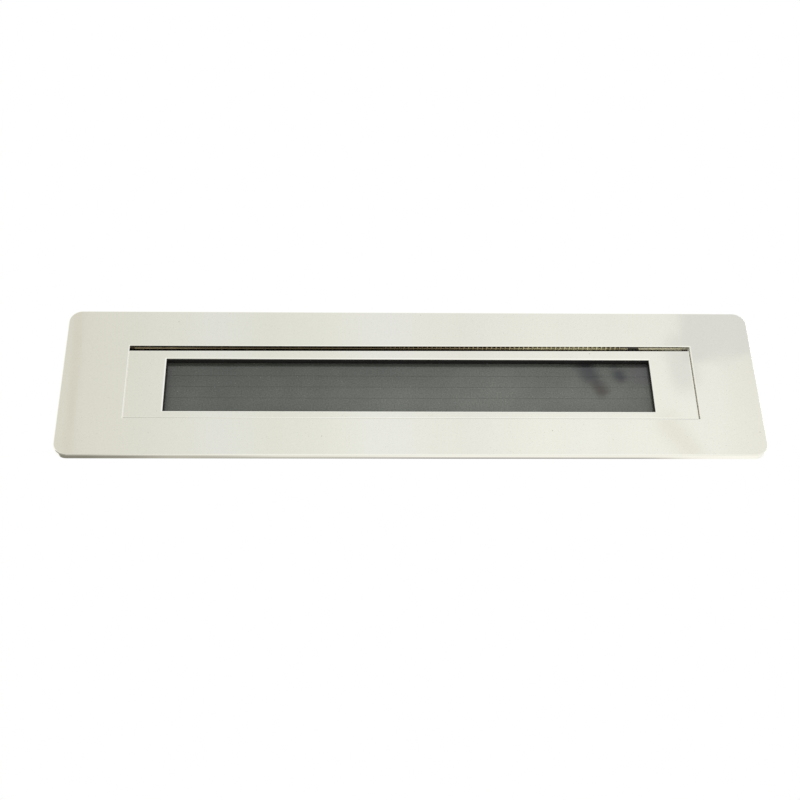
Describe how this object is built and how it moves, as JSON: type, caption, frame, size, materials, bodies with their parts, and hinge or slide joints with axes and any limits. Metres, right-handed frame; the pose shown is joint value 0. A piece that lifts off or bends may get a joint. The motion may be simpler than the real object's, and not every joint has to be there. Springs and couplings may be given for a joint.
{
  "type": "letter plate",
  "caption": "Flat polished letter plate with a flush inward-opening sprung flap, a dark panel set in the flap's window, and concealed rear fixing studs.",
  "frame": {"origin": "centre of the plate's rear face, which seats on the door, midway between the two fixing studs", "axes": "+Z to the plate's top (hinge) edge, +X to the right seen from outside, -Y out of the visible face, +Y into the door"},
  "size_m": [0.305, 0.051, 0.0762],
  "materials": {
    "polished_nickel": "warm polished nickel plate, mirror finish",
    "dark_panel": "dark grey gloss panel",
    "black_foam": "matt black foam strip",
    "black_rubber": "matt black flexible rubber",
    "zinc_sheet": "zinc plated pressed steel",
    "zinc_fastener": "bright zinc plated steel",
    "weld_stud": "machined brass",
    "brass_rod": "drawn brass",
    "bronze_wire": "phosphor bronze spring wire",
    "spring_steel": "blackened spring steel",
    "dark_collar": "blackened steel",
    "white_nylon": "natural nylon"
  },
  "bodies": {
    "plate": {"front_plate": "polished_nickel", "hinge_rod": "brass_rod", "rod_clips": "spring_steel", "rod_spacers": "white_nylon", "hinge_bracket_left": "zinc_sheet", "hinge_bracket_right": "zinc_sheet", "bracket_studs": "weld_stud", "bracket_washers": "zinc_fastener", "bracket_nuts": "zinc_fastener", "closing_spring": "bronze_wire", "spring_collar": "dark_collar", "collar_grub_screw": "spring_steel", "hinge_seal_carrier": "zinc_sheet", "hinge_seal": "black_rubber", "seal_left": "black_foam", "seal_right": "black_foam", "seal_bottom": "black_foam", "fixing_studs": "weld_stud"},
    "flap": {"flap_frame": "polished_nickel", "panel_seal": "black_foam", "window_panel": "dark_panel", "flap_backplate": "zinc_sheet", "backplate_screws": "zinc_fastener", "backplate_washers": "zinc_fastener", "knuckle_left": "zinc_sheet", "knuckle_middle": "zinc_sheet", "knuckle_right": "zinc_sheet", "knuckle_rivets": "zinc_fastener"}
  },
  "joints": [
    {"name": "flap_hinge", "type": "hinge", "parent": "plate", "child": "flap", "pos_m": [0, 0.0019, 0.01727], "axis": [1, 0, 0], "range_deg": [0, 85], "stiffness_Nm_per_rad": 0.06, "springref_deg": -57.3, "deforming": ["closing_spring", "hinge_seal"]}
  ]
}
